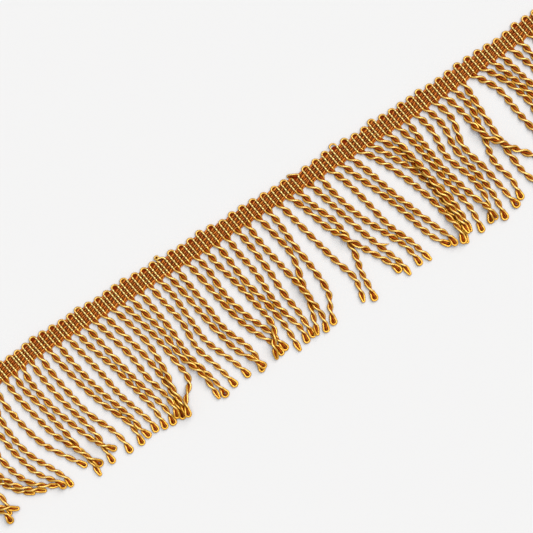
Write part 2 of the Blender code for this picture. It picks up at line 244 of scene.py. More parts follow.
CORDS = [Cord(*row) for row in (
    ("L9", -160.5, -159.0, -155.5, -150.0, -144.3, -143.8, 75.8, 3.8),
    ("L8", -154.6, -153.2, -150.8, -148.4, -139.3, -136.8, 71.5, 3.0),
    ("L7", -148.6, -147.0, -143.8, -141.3, -141.9, -142.2, 72.0, 2.8),
    ("L6", -142.8, -142.4, -140.0, -133.9, -125.6, -126.0, 69.2, 2.8),
    ("L5", -137.3, -137.6, -137.0, -130.9, -121.8, -120.2, 71.2, 2.8),
    ("L4", -131.7, -132.0, -130.5, -126.0, -117.3, -112.9, 72.3, 2.8),
    ("L3", -125.7, -125.1, -122.9, -119.0, -113.0, -110.6, 75.0, 3.9),
    ("L2", -119.8, -120.6, -118.1, -112.3, -108.5, -107.6, 76.4, 3.2),
    ("L1", -114.8, -112.8, -108.8, -101.9, -96.8, -95.9, 71.6, 3.2),
    ("A1", -107.4, -104.7, -101.1, -95.1, -91.3, -88.6, 75.3, 4.2),
    ("A2", -102.2, -99.1, -96.2, -94.4, -92.7, -92.2, 79.4, 2.6),
    ("A3", -97.4, -95.0, -90.5, -85.9, -80.3, -78.2, 72.2, 3.3),
    ("A4", -91.2, -88.9, -85.4, -82.9, -83.3, -83.1, 77.6, 3.6),
    ("A5", -85.7, -83.6, -80.5, -75.2, -73.0, -72.5, 77.8, 3.8),
    ("B1", -79.0, -75.9, -71.3, -66.3, -64.9, -65.4, 77.6, 3.6),
    ("B2", -74.0, -71.3, -67.2, -63.3, -62.0, -60.0, 76.2, 3.6),
    ("B3", -67.2, -64.1, -61.8, -58.1, -55.8, -55.6, 75.8, 3.8),
    ("B4", -61.7, -57.3, -53.9, -51.2, -50.6, -50.9, 77.0, 3.6),
    ("B5", -56.2, -53.5, -50.4, -47.0, -45.6, -46.2, 77.5, 3.8),
    ("B6", -50.3, -46.6, -45.0, -42.1, -41.5, -43.0, 75.5, 3.4),
    ("B7", -44.8, -41.1, -38.9, -38.6, -39.4, -40.5, 77.4, 3.8),
    ("B8", -38.7, -35.6, -35.6, -36.9, -37.2, -38.2, 76.3, 2.8),
    ("B9", -33.6, -30.3, -28.4, -27.7, -34.5, -37.6, 77.9, 3.6),
    ("B10", -28.9, -25.9, -24.6, -20.5, -19.6, -19.4, 78.3, 2.6),
    ("B11", -23.7, -21.8, -21.3, -18.6, -16.6, -15.5, 79.6, 4.3),
    ("B12", -17.6, -15.0, -15.5, -12.2, -10.2, -8.6, 77.6, 3.8),
    ("B13", -11.4, -10.7, -9.6, -4.9, -2.0, -0.3, 77.0, 3.6),
    ("B14", -6.5, -4.3, -1.8, 1.2, 5.7, 9.4, 77.2, 3.6),
    ("C1", -1.7, 0.2, 1.9, 6.5, 8.0, 6.8, 78.5, 3.3),
    ("C2", 5.3, 7.7, 10.7, 15.4, 19.4, 20.1, 76.6, 3.2),
    ("C3", 10.8, 11.3, 15.1, 20.2, 22.3, 23.4, 75.6, 3.8),
    ("C4", 16.4, 19.9, 22.8, 23.7, 19.0, 16.4, 77.0, 2.6),
    ("C5", 22.5, 23.8, 27.2, 28.9, 29.1, 28.9, 79.6, 2.6),
    ("C6", 28.6, 30.8, 30.9, 33.1, 35.2, 34.4, 78.2, 3.5),
    ("C7", 35.6, 36.9, 37.2, 38.6, 38.8, 38.6, 77.4, 3.4),
    ("C8", 40.8, 43.3, 46.0, 47.6, 48.2, 45.6, 78.8, 3.6),
    ("C9", 48.9, 51.4, 48.5, 46.0, 43.4, 40.8, 77.6, 2.6),
    ("C10", 54.4, 55.3, 57.0, 57.0, 53.3, 50.8, 77.6, 3.8),
    ("C11", 62.0, 65.3, 68.8, 72.3, 71.4, 69.9, 75.8, 2.6),
    ("D1", 70.1, 75.0, 83.2, 89.9, 93.5, 93.9, 72.8, 3.8),
    ("D2", 74.3, 79.6, 79.5, 77.0, 76.4, 75.5, 78.4, 3.8),
    ("D3", 81.4, 85.4, 90.0, 94.3, 96.9, 97.6, 76.6, 2.6),
    ("D4", 86.5, 90.7, 97.3, 103.0, 104.6, 105.0, 75.2, 3.5),
    ("D5", 95.3, 98.7, 101.8, 106.8, 109.0, 110.6, 75.8, 2.6),
    ("D6", 101.6, 107.7, 112.7, 116.0, 119.8, 123.4, 74.6, 3.4),
    ("D7", 107.4, 111.7, 117.1, 121.6, 124.8, 125.7, 76.2, 3.6),
    ("D8", 116.1, 122.6, 127.4, 129.8, 131.3, 129.6, 77.6, 3.6),
    ("D9", 121.6, 128.6, 131.8, 132.3, 132.8, 131.2, 78.4, 2.8),
    ("D10", 126.3, 131.2, 135.3, 136.5, 136.3, 135.9, 74.4, 2.8),
    ("D11", 129.3, 132.0, 133.5, 134.2, 134.3, 134.4, 74.3, 2.8),
    ("E1", 135.1, 137.3, 139.6, 141.9, 141.8, 140.9, 77.8, 3.5),
    ("E2", 139.0, 140.4, 143.7, 147.3, 149.9, 150.3, 76.0, 3.4),
    ("E3", 146.4, 145.7, 150.4, 151.9, 149.6, 147.0, 76.2, 3.5),
    ("E4", 152.7, 151.6, 154.2, 155.6, 155.5, 154.5, 78.8, 4.0),
    ("E5", 158.4, 155.7, 159.0, 161.1, 162.2, 163.4, 76.6, 4.3),
    ("E6", 164.7, 167.4, 177.4, 186.5, 190.0, 190.5, 74.0, 3.5),
    ("E7", 169.7, 167.9, 165.0, 167.8, 167.3, 166.9, 74.2, 3.8),
    ("E8", 173.2, 173.4, 173.8, 174.9, 177.2, 178.5, 76.0, 3.5),
    ("E9", 186.7, 188.9, 191.5, 194.0, 196.0, 197.0, 75.5, 3.5),
    ("E10", 192.8, 197.0, 195.6, 198.0, 200.0, 201.0, 76.5, 3.5),
    ("E11", 196.3, 200.5, 202.0, 204.0, 205.5, 206.5, 77.0, 3.5),
    ("E12", 200.7, 204.5, 207.0, 209.0, 210.5, 211.5, 76.0, 3.5),
    ("E13", 207.8, 211.0, 213.0, 215.0, 216.0, 217.0, 77.0, 3.5),
    ("E14", 212.2, 216.0, 218.5, 220.5, 221.5, 222.0, 76.5, 3.5),
    ("E15", 219.0, 222.0, 224.5, 226.0, 227.0, 227.5, 77.0, 3.5),
    ("E16", 225.0, 228.0, 230.0, 231.5, 232.5, 233.0, 76.5, 3.5),
)]

# Which cord lies over which, each pair as (upper, lower)
OVER = (
    ("L8", "L7"), ("L9", "L7"), ("L3", "L4"), ("L5", "L6"), ("L4", "L5"),
    ("A1", "A2"), ("A3", "A4"), ("B6", "B7"), ("B6", "B8"), ("B9", "B8"), ("B10", "B11"),
    ("B14", "C1"), ("C4", "C3"), ("C4", "C2"), ("C3", "C2"), ("C8", "C9"), ("D1", "D2"),
    ("D11", "D10"), ("D11", "D9"), ("D10", "D9"), ("D8", "D9"), ("E2", "E3"), ("E6", "E7"),
    ("E6", "E8"), ("E11", "E10"), ("E6", "E9"),
)


class Picot(NamedTuple):
    """One row for each picot loop: its middle, its rise past the even line of tips, and its open eye."""
    along: float
    rise: float
    eye: float = 0.0


PICOTS = [Picot(*row) for row in (
    (-100.3, -0.8), (-95.4, -0.9), (-90.0, -0.4), (-84.8, 0.4), (-79.2, 0.0), (-73.3, -0.2),
    (-67.8, -0.5), (-62.3, -0.2), (-57.1, 0.5), (-51.3, -0.2), (-45.7, -0.5), (-40.2, -0.2),
    (-34.9, 0.3), (-29.3, 0.6), (-23.0, -0.1), (-17.7, -0.4), (-12.3, -0.1), (-7.0, -1.4), (-1.0, -0.1),
    (4.8, -0.4), (10.6, -0.2), (16.8, 0.8), (23.2, 0.1), (29.6, -0.9), (36.0, -0.1), (42.2, 0.1),
    (48.6, 0.0), (55.0, -0.4), (61.4, -0.5), (67.3, -0.3), (73.5, -0.6), (80.5, -0.2), (86.9, 0.1),
    (93.2, 0.9), (98.9, 2.1, 1.0), (105.2, 1.2), (111.1, 0.4), (117.0, 0.6), (122.3, 1.9), (128.3, 0.9),
    (134.0, 0.6), (139.6, 0.8), (145.3, 0.7), (151.0, 1.2), (157.0, 0.4), (162.8, 0.4), (168.8, 0.6),
    (175.0, 1.1), (181.2, 0.9), (187.3, 0.6), (193.1, 0.2), (198.7, -0.4), (204.6, -0.2), (211.0, 0.7),
    (217.4, 0.3), (223.2, 0.0),
)]

# Two picots have slipped: one has curled into a small ring, one has flopped over to the left.  Each is the
# (along, down, height) of its yarn from the top of its left arm to the top of its right one.
SLIPPED_ARCHES = {
    -7.0: ((-8.7, 2.3, 1.9), (-9.2, 1.5, 1.7), (-8.9, 0.9, 1.6), (-8.0, 0.7, 1.5), (-7.5, 0.1, 1.3),
           (-7.7, -0.6, 1.2), (-8.4, -1.0, 1.1), (-9.2, -0.8, 1.1), (-9.6, -0.1, 1.4), (-9.3, 0.6, 2.0),
           (-8.6, 0.95, 2.4), (-7.5, 0.9, 2.3), (-6.3, 1.2, 2.1), (-5.5, 1.7, 1.9), (-5.2, 2.3, 1.9)),
    73.5: ((72.2, 2.6, 1.7), (71.7, 1.9, 1.1), (71.1, 1.2, 0.9), (70.8, 0.5, 1.0), (71.0, -0.1, 1.2),
           (71.7, 0.0, 1.4), (72.6, 0.4, 1.5), (73.8, 1.0, 1.6), (75.0, 1.6, 1.7), (76.0, 2.2, 1.8),
           (76.2, 2.9, 1.9)),
}
# Loose bits of yarn as (along, down, height, radius): rust ends under the slipped picots and a curl's filled
# eye, then a gold thorn and a gold knot on two cords
LOOSE_RUST = (
    ((70.9, 0.9, 1.2, 0.4), (72.0, 1.15, 1.7, 0.5), (73.4, 1.75, 1.9, 0.5), (74.8, 2.45, 1.9, 0.5),
     (76.2, 3.0, 1.6, 0.35)),
    ((71.2, 2.0, 1.3, 0.5), (72.9, 2.9, 1.3, 0.5)),
    ((-10.0, 2.2, 1.2, 0.35), (-8.8, 1.75, 1.5, 0.42), (-7.4, 1.65, 1.6, 0.45), (-6.2, 2.0, 1.5, 0.42),
     (-5.5, 2.5, 1.2, 0.3)),
    ((-9.0, 0.5, 0.7, 0.4), (-8.6, 0.0, 0.8, 0.5), (-8.2, -0.4, 0.7, 0.4)),
)
LOOSE_GOLD = (
    ((92.6, 55.2, 1.9, 0.7), (93.8, 56.2, 1.9, 0.75), (95.2, 56.9, 1.7, 0.5), (96.9, 57.4, 1.4, 0.12)),
    ((-113.6, 28.3, 2.0, 0.4), (-112.6, 28.7, 1.9, 0.48), (-112.2, 29.6, 1.7, 0.48),
     (-112.5, 30.6, 1.6, 0.44), (-113.4, 31.2, 1.8, 0.35)),
)


def linear(code):
    """An sRGB hex colour as linear red, green and blue."""
    parts = [int(code[at:at + 2], 16) / 255 for at in (1, 3, 5)]
    return tuple(c / 12.92 if c <= 0.04045 else ((c + 0.055) / 1.055) ** 2.4 for c in parts)


def thickness(name, description, millimetres):
    """A length to set in the panel, with its default in millimetres."""
    return bpy.props.FloatProperty(name=name, description=description, default=millimetres * MM,
                                   unit="LENGTH")


def colour(name, description, default):
    """A colour to set in the panel."""
    return bpy.props.FloatVectorProperty(name=name, description=description, default=default,
                                         subtype="COLOR")


def light_strength(name, description, default):
    """The strength of a light to set in the panel."""
    return bpy.props.FloatProperty(name=name, description=description, default=default)


class TRIM_PG_yarns(bpy.types.PropertyGroup):
    """Sizes and colours of the yarns, with the colours of their painted highlight and painted shade."""
    gold_width: thickness("Gold yarn", "Thickness of the gold gimp yarn", 1.22)
    arm_width: thickness("Gold yarn, drawn tight",
                         "Thickness of the gold yarn in the heading, where it is drawn tight", 0.96)
    ply_width: thickness("Rust ply", "Thickness of one rust ply of a cord", 1.68)
    lens_length: thickness("Lens length", "Distance between two gold crossings on a cord", 5.65)
    rib_width: thickness("Rib", "Thickness of one rust rib of the heading", 1.9)
    gold: colour("Gold", "Colour of the gold gimp yarn", linear("#f0aa20"))
    # gold_light is a painted highlight, put onto the open, upward-facing crown of the yarn
    gold_light: colour("Gold light", "Colour of the gold yarn where it catches the light",
                       linear("#ffeea2"))
    # gold_painted_shade is painted shade: the dark gold put into the yarn's folds and onto its flanks and
    # undersides
    gold_painted_shade: colour("Gold, deep", "Colour of the gold yarn in its folds", linear("#5a2604"))
    # rust_painted_shade is painted shade: the near black put into the rust wherever yarns crowd together
    rust_painted_shade: colour("Rust, folds", "Colour of the rust viscose pressed between yarns",
                      linear("#360600"))
    rust: colour("Rust", "Colour of the rust viscose", linear("#a83e04"))
    # rust_dark is the viscose's deeper tone, mixed in random patches; the heading's ground is mostly this
    # colour, which partly paints the shade of its hollows
    rust_dark: colour("Rust, deep", "Colour of the rust viscose in its folds", linear("#6a1c00"))
    # orange is partly the viscose's own orange tone and partly painted light, mixed in by each point's shade
    orange: colour("Orange", "Colour of the orange strands in the rust viscose", linear("#e8862c"))


class TRIM_PG_stage(bpy.types.PropertyGroup):
    """The floor and the light."""
    floor: colour("Floor", "Colour of the floor", linear("#eaeaea"))
    key_power: light_strength("Key light", "Strength of the broad light from the side", 1.46)
    top_power: light_strength("Top light", "Strength of the broad light from above", 1.66)
    fill_strength: light_strength("Fill light", "Strength of the even light all round", 0.22)
    fill: colour("Fill colour", "Colour of the even light all round", (0.9, 0.96, 1.0))
    key: colour("Lamp colour", "Colour of the two broad lights", (1.0, 0.982, 0.97))


def bow(along):
    """How far the heading bends down, or up where negative, from a straight line."""
    if along < LEFT_BOW_START:
        reach = LEFT_BOW_START - along
        run = max(0.0, reach - LEFT_BOW_REACH)
        return LEFT_BOW * min(reach, LEFT_BOW_REACH) ** 2 + LEFT_RUN_SLOPE * run
    return RIGHT_BOW * max(0.0, along - RIGHT_BOW_START) ** 2


def level_mm(along, down, height):
    """A point of the levelled plan, in the frame's axes but in millimetres."""
    return Vector((along - ALONG_MIDDLE, ORIGIN_DOWN - down, height))


def heading_mm(along, down, height):
    """A point of the bowed heading, in the frame's axes but in millimetres."""
    return level_mm(along, down + bow(along), height)


def level_point(along, down, height):
    """A point of the levelled plan, in metres."""
    return level_mm(along, down, height) * MM


def heading_point(along, down, height):
    """A point of the bowed heading, in metres."""
    return heading_mm(along, down, height) * MM


def leaned(down):
    """How far along the heading's arms lean at this level."""
    return ARM_LEAN * (down - ARM_LEVEL)


def foot_down(along):
    """How far down the heading's foot lies."""
    for (left, before), (right, after) in zip(HEADING_FEET, HEADING_FEET[1:]):
        if along < right:
            break
    share = min(max((along - left) / (right - left), 0.0), 1.0)
    return before + (after - before) * share


def root_down(along):
    """How far down the cords leave the heading."""
    return foot_down(along) - ROOT_ABOVE_FOOT


def all_picots():
    """The picots read off the trim, carried on evenly to the heading's start."""
    picots = list(PICOTS)
    while picots[0].along - PICOT_PITCH + ARM_LEFT > HEADING_START:
        picots.insert(0, Picot(picots[0].along - PICOT_PITCH, USUAL_RISE))
    return picots


def smooth_route(knots):
    """Points on a smooth curve through the knots, evenly spaced along it, and its length."""
    path = [knots[0] * 2 - knots[1]] + list(knots) + [knots[-1] * 2 - knots[-2]]
    dense = []
    for before, start, end, after in zip(path, path[1:], path[2:], path[3:]):
        for step in range(KNOT_STEPS):
            u = step / KNOT_STEPS
            dense.append(0.5 * (2 * start + (end - before) * u
                                + (2 * before - 5 * start + 4 * end - after) * u ** 2
                                + (3 * start - before - 3 * end + after) * u ** 3))
    dense.append(knots[-1])
    lengths = [0.0]
    for start, end in zip(dense, dense[1:]):
        lengths.append(lengths[-1] + (end - start).length)
    route = []
    spot = 0
    for step in range(ROUTE_SAMPLES + 1):
        target = lengths[-1] * step / ROUTE_SAMPLES
        while spot < len(lengths) - 2 and lengths[spot + 1] < target:
            spot += 1
        part = (target - lengths[spot]) / (lengths[spot + 1] - lengths[spot])
        route.append(dense[spot].lerp(dense[spot + 1], min(part, 1.0)))
    return route, lengths[-1]


def cord_root(order, picots):
    """Where a cord leaves the heading: midway between two picots' neighbouring gold arms."""
    middle = (picots[order].along + picots[order + 1].along) / 2 + ARM_MIDDLE
    return middle + leaned(root_down(middle))


def cord_plans():
    """Each cord's route seen from above, in millimetres, and its length."""
    picots = all_picots()
    plans = {}
    for order, cord in enumerate(CORDS):
        root = cord_root(order, picots)
        places = (cord.at20, cord.at35, cord.at50, cord.at62, cord.at70)
        knots = [Vector((root, root_down(root) + bow(root)))]
        knots += [Vector((along, down)) for along, down in zip(places, LEVELS)
                  if down < cord.tip_down - LAST_KNOT_GAP]
        knots.append(Vector((cord.tip, cord.tip_down)))
        plans[cord.name] = smooth_route(knots)
    return plans


def cord_heights(plans):
    """How high each cord's middle lies, laid one after another so that upper cords clear lower ones."""
    depth = {name: 0 for name in plans}
    for _ in range(len(OVER)):
        for upper, lower in OVER:
            depth[upper] = max(depth[upper], depth[lower] + 1)
    heights = {}
    for name in sorted(plans, key=lambda key: depth[key]):
        route, length = plans[name]
        step = length / ROUTE_SAMPLES
        levels = []
        for point in route:
            top = CORD_REST
            for other, others in heights.items():
                if abs(plans[other][0][0].x - route[0].x) > NEIGHBOURHOOD:
                    continue
                for spot, level in zip(plans[other][0], others):
                    apart = (spot - point).length
                    if apart < CORD_CLEAR:
                        top = max(top, level + math.sqrt(CORD_CLEAR ** 2 - apart ** 2))
            levels.append(top)
        for at in range(1, len(levels)):
            levels[at] = max(levels[at], levels[at - 1] - CLIMB * step)
        for at in range(len(levels) - 2, -1, -1):
            levels[at] = max(levels[at], levels[at + 1] - CLIMB * step)
        for _ in range(EASE_PASSES):
            levels = [levels[0]] + [(levels[at - 1] + 2 * levels[at] + levels[at + 1]) / 4
                                    for at in range(1, len(levels) - 1)] + [levels[-1]]
        heights[name] = levels
    return heights


def ease(value):
    """A soft step from 0 to 1."""
    value = min(max(value, 0.0), 1.0)
    return value * value * (3 - 2 * value)


class Spine:
    """A cord's middle line: its place and its sideways and upward directions at any distance down it."""

    def __init__(self, route, length, heights):
        self.length = length
        self.step = length / ROUTE_SAMPLES
        self.points = [level_mm(plan.x, plan.y, height) for plan, height in zip(route, heights)]

    def at(self, distance):
        """The place at a distance down the cord, with the ways sideways and up from it."""
        spot = min(max(distance / self.step, 0.0), ROUTE_SAMPLES - 1e-6)
        below = int(spot)
        place = self.points[below].lerp(self.points[below + 1], spot - below)
        early = self.points[max(below - 1, 0)]
        late = self.points[min(below + 2, ROUTE_SAMPLES)]
        ahead = (late - early).normalized()
        side = Vector((0, 0, 1)).cross(ahead).normalized()
        return place + ahead * max(0.0, distance - self.length), side, ahead.cross(side)


def to_left(along):
    """0 over the right half of the trim, rising to 1 over its left half."""
    return ease((LEFT_FROM - along) / SIDE_BLEND)


def to_right(along):
    """0 over most of the trim, rising to 1 towards its right end."""
    return ease((along - RIGHT_FROM) / SIDE_BLEND)


def twist_angle(distance, length, lens, first, flat):
    """How far round the cord its first gold yarn lies: pi at the left, half pi in front, 0 at the right."""
    last = length - (LAST_CROSSING if flat else LAST_CROSSING_NARROW)
    lenses = max(1, round((last - first) / lens))
    even = (last - first) / lenses
    angle = math.pi / 2 - math.pi * (min(distance, last) - first) / even
    return angle - math.pi / 2 * ease((distance - last) / LOOP_SETTLE)


def loop_half_width(to_tip, width, twisted):
    """How far a yarn stands from the cord's middle near its free end, which it rounds."""
    if to_tip < width:
        return math.sqrt(max(0.0, width ** 2 - (width - to_tip) ** 2))
    return width + (twisted - width) * ease((to_tip - width) / LOOP_NECK)


def loop_stations(length, step):
    """Distances down a cord: even along its twist, closer round its end."""
    stations = []
    distance = 0.0
    while distance < length - LOOP_FINE:
        stations.append(distance)
        distance += step
    for share in LOOP_SHARES:
        stations.append(length - LOOP_FINE * share)
    return stations


def wander(chance, waves):
    """A slow unevenness between -1 and 1, in waves of these lengths, as a function of the distance along."""
    phases = [chance.uniform(0, 2 * math.pi) for _ in waves]
    return lambda distance: sum(math.sin(2 * math.pi * distance / wave + phase)
                                for wave, phase in zip(waves, phases)) / len(waves)


def slimmed(cord, distance, to_tip):
    """How slim a cord is at a distance down it, from 1 at its root."""
    slim = 1 - SLIMMER * ease((distance - SLIMS_FROM) / SLIMS_OVER)
    slim -= LEFT_SLIMMER * to_left(cord.at20) * ease(distance / SLIMS_FROM)
    return slim - END_SLIMMER * ease((END_SLIMS_FROM - to_tip) / END_SLIMS_OVER)


def leaning(side, up, angle):
    """The way from a cord's middle to a yarn this far round it; a cord lies a little flattened."""
    return side * math.cos(angle) + up * math.sin(angle) * LYING_LOW


def cord_yarns(cord, spine, root_half, settings, chance):
    """The gold yarn and the rust ply of a cord, each down one side, round the loop and back."""
    gold_radius = settings.gold_width / MM / 2
    ply_radius = settings.ply_width / MM / 2
    lens = settings.lens_length / MM * chance.uniform(*LENS_RANGE)
    length = spine.length
    loop = (cord.loop + (LOOP_SLACK if cord.flat else -LOOP_TIGHT)) / 2 - gold_radius
    inner = max(LOOP_PLY_LEAST, loop - gold_radius - LOOP_PLY_RADIUS + LOOP_PLY_PRESS)
    tip_gap = gold_radius + LOOP_PLY_RADIUS * LOOP_PLY_NEST
    first = FIRST_CROSSING - RIGHT_SOONER * to_right(cord.at20) - root_down(cord.at20)
    uneven = wander(chance, ANGLE_WAVES)
    stations = loop_stations(length, YARN_STEP)
    gold, rust = [], []
    for sign in (1, -1):
        run_gold, run_rust = [], []
        slack = wander(chance, REACH_WAVES)
        for distance in stations:
            to_tip = length - distance
            free = ease(distance / ROOT_SETTLE - 1) * ease(to_tip / LOOP_FINE - 1)
            angle = twist_angle(distance, length, lens, first, cord.flat)
            angle += ANGLE_WANDER * uneven(distance) * free
            place, side, up = spine.at(distance)
            spread = ease(1 - distance / ROOT_SETTLE)
            slim = slimmed(cord, distance, to_tip)
            reach = GOLD_REACH * slim * (1 + REACH_WANDER * slack(distance) * free)
            reach += (root_half - GOLD_REACH) * spread
            reach = loop_half_width(to_tip, loop, reach)
            # Painted highlight: the gold yarn is painted lighter where it lies on the cord's front, and less
            # so round the end loop
            facing = max(0.0, sign * math.sin(angle))
            twisted = ease(to_tip / LOOP_FINE - LOOP_SHADE_FROM)
            shade = (GOLD_SHADE + GOLD_FRONT_SHADE * facing) * twisted + LOOP_SHADE * (1 - twisted)
            run_gold.append((place + leaning(side, up, angle) * (sign * reach), gold_radius, shade))
            if distance > length - tip_gap:
                continue
            turned = angle - math.pi / 2 * ease((to_tip - LOOP_NECK) / LOOP_SETTLE)
            fuller = ease((to_tip - tip_gap) / LOOP_NECK)
            thick = LOOP_PLY_RADIUS + (ply_radius * slim - LOOP_PLY_RADIUS) * fuller
            reach = loop_half_width(to_tip - tip_gap, inner, PLY_REACH)
            # Painted light: a ply is painted lighter as it comes round to one side of the cord and darker on
            # the other. It is also darker near its root.
            shade = (RUST_SHADE + RUST_SIDE_SHADE * sign * math.cos(turned)) * (1 - ROOT_DARKENS * spread)
            run_rust.append((place + leaning(side, up, turned) * (sign * reach), thick, shade))
        if sign < 0:
            run_gold.reverse()
            run_rust.reverse()
        else:
            run_gold.append((spine.at(length)[0], gold_radius, LOOP_SHADE))
        gold += run_gold
        rust += run_rust
    return gold, rust


def add_node(tree, kind, settings=None, **inputs):
    """Adds a node with its settings; an input is a value, or another node's output to link from.

    An input is named by its label, or by i and its place where several share a label.
    """
    node = tree.nodes.new(kind)
    for name, value in (settings or {}).items():
        setattr(node, name, value)
    for name, value in inputs.items():
        numbered = name[0] == "i" and name[1:].isdigit()
        socket = node.inputs[int(name[1:]) if numbered else name.replace("_", " ")]
        if isinstance(value, bpy.types.NodeSocket):
            tree.links.new(value, socket)
        else:
            socket.default_value = value
    return node


def new_tree(name, sizes):
    """An empty Geometry Nodes tree with one named input for each size and for the material."""
    tree = bpy.data.node_groups.new(name, "GeometryNodeTree")
    face = tree.interface
    face.new_socket("Geometry", in_out="INPUT", socket_type="NodeSocketGeometry")
    for label, kind, value in sizes:
        socket = face.new_socket(label, in_out="INPUT", socket_type=kind)
        socket.default_value = value
    face.new_socket("Material", in_out="INPUT", socket_type="NodeSocketMaterial")
    face.new_socket("Geometry", in_out="OUTPUT", socket_type="NodeSocketGeometry")
    return tree, add_node(tree, "NodeGroupInput").outputs


def finish_tree(tree, geometry, material):
    """Ends a tree in real faces that carry the material."""
    smooth = add_node(tree, "GeometryNodeSetShadeSmooth", Geometry=geometry)
    real = add_node(tree, "GeometryNodeRealizeInstances", Geometry=smooth.outputs[0])
    dressed = add_node(tree, "GeometryNodeSetMaterial", Geometry=real.outputs[0], Material=material)
    add_node(tree, "NodeGroupOutput", Geometry=dressed.outputs[0])
    return tree


def point_value(tree, name, kind="FLOAT"):
    """What each point of a base mesh keeps under this name."""
    return add_node(tree, "GeometryNodeInputNamedAttribute", {"data_type": kind}, Name=name).outputs[0]


def yarn_tree():
    """Lays a round yarn along each line of points, as thick as its "thick" attribute says."""
    tree, given = new_tree("lay_yarn", [("Sides", "NodeSocketInt", YARN_SIDES)])
    line = add_node(tree, "GeometryNodeMeshToCurve", Mesh=given["Geometry"])
    thick = point_value(tree, "thick")
    ring = add_node(tree, "GeometryNodeCurvePrimitiveCircle", Resolution=given["Sides"], Radius=1.0)
    share = add_node(tree, "GeometryNodeSplineParameter")
    marked = add_node(tree, "GeometryNodeStoreNamedAttribute", {"data_type": "FLOAT", "domain": "POINT"},
                      Geometry=ring.outputs[0], Name="around", Value=share.outputs["Factor"])
    sized = add_node(tree, "GeometryNodeSetCurveRadius", Curve=line.outputs[0], Radius=thick)
    swept = add_node(tree, "GeometryNodeCurveToMesh", Curve=sized.outputs[0],
                     Profile_Curve=marked.outputs[0], Fill_Caps=True)
    if "Scale" in swept.inputs:
        tree.links.new(thick, swept.inputs["Scale"])
    return finish_tree(tree, swept.outputs[0], given["Material"])


def rib_tree():
    """Sets one plump spindle of yarn on each point, turned and sized by the point's attributes."""
    tree, given = new_tree("set_ribs", [
        ("Segments", "NodeSocketInt", RIB_SEGMENTS), ("Rings", "NodeSocketInt", RIB_RINGS),
        ("Bluntness", "NodeSocketFloat", 0.6), ("Roll", "NodeSocketFloat", 0.12),
        ("Seed", "NodeSocketInt", 7)])
    ball = add_node(tree, "GeometryNodeMeshUVSphere", Segments=given["Segments"], Rings=given["Rings"],
                    Radius=1.0)
    place = add_node(tree, "ShaderNodeSeparateXYZ", i0=add_node(tree, "GeometryNodeInputPosition").outputs[0])
    reach = math_node(tree, "POWER", math_node(tree, "ABSOLUTE", place.outputs["X"]), given["Bluntness"])
    across = math_node(tree, "MULTIPLY", reach, math_node(tree, "SIGN", place.outputs["X"]))
    blunt = add_node(tree, "ShaderNodeCombineXYZ", X=across, Y=place.outputs["Y"], Z=place.outputs["Z"])
    spindle = add_node(tree, "GeometryNodeSetPosition", Geometry=ball.outputs["Mesh"],
                       Position=blunt.outputs[0])
    most = add_node(tree, "ShaderNodeCombineXYZ", Z=given["Roll"]).outputs[0]
    least = add_node(tree, "ShaderNodeVectorMath", {"operation": "SCALE"}, i0=most, Scale=-1.0)
    wobble = add_node(tree, "FunctionNodeRandomValue", {"data_type": "FLOAT_VECTOR"}, i0=least.outputs[0],
                      i1=most, Seed=given["Seed"])
    rocked = add_node(tree, "ShaderNodeVectorMath", {"operation": "ADD"},
                      i0=point_value(tree, "turn", "FLOAT_VECTOR"), i1=wobble.outputs[0])
    spin = add_node(tree, "FunctionNodeEulerToRotation", Euler=rocked.outputs[0])
    placed = add_node(tree, "GeometryNodeInstanceOnPoints", Points=given["Geometry"],
                      Instance=spindle.outputs[0], Rotation=spin.outputs[0],
                      Scale=point_value(tree, "size", "FLOAT_VECTOR"))
    return finish_tree(tree, placed.outputs[0], given["Material"])


def grown(name, base, tree, material, body, slot, **sizes):
    """Runs a tree on a mesh of points, keeps the result as a plain mesh and seats it on its body."""
    worker = bpy.data.objects.new(name + "_points", base)
    bpy.context.scene.collection.objects.link(worker)
    modifier = worker.modifiers.new("grow", "NODES")
    modifier.node_group = tree
    for item in tree.interface.items_tree:
        if item.in_out != "INPUT":
            continue
        if item.name == "Material":
            modifier[item.identifier] = material
        elif item.name in sizes:
            modifier[item.identifier] = sizes[item.name]
    bpy.context.view_layer.update()
    result = worker.evaluated_get(bpy.context.evaluated_depsgraph_get())
    mesh = bpy.data.meshes.new_from_object(result)
    mesh.name = name
    worker.modifiers.remove(modifier)
    bpy.data.objects.remove(worker)
    bpy.data.meshes.remove(base)
    return seated(name, mesh, body)


def seated(name, mesh, body):
    """A finished piece at the origin, riding on its body."""
    piece = bpy.data.objects.new(name, mesh)
    bpy.context.scene.collection.objects.link(piece)
    bpy.context.view_layer.update()
    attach(piece, body)
    return piece


def keep(mesh, **columns):
    """Keeps a column of numbers, or of vectors, under each name at the mesh's points."""
    for name, values in columns.items():
        if isinstance(values[0], tuple):
            flat = list(itertools.chain.from_iterable(values))
            mesh.attributes.new(name, "FLOAT_VECTOR", "POINT").data.foreach_set("vector", flat)
        else:
            mesh.attributes.new(name, "FLOAT", "POINT").data.foreach_set("value", values)


def yarn_lines(name, lines):
    """A mesh of bare lines from (place in mm, radius in mm, shade); each point keeps its own values."""
    points, edges, thick, along, shades = [], [], [], [], []
    for line in lines:
        run = 0.0
        for at, (place, radius, shade) in enumerate(line):
            if at:
                edges.append((len(points) - 1, len(points)))
                run += (place - line[at - 1][0]).length
            points.append(place * MM)
            thick.append(radius * MM)
            along.append(run)
            shades.append(shade)
    mesh = bpy.data.meshes.new(name)
    mesh.from_pydata(points, edges, [])
    keep(mesh, thick=thick, along=along, shade=shades)
    return mesh


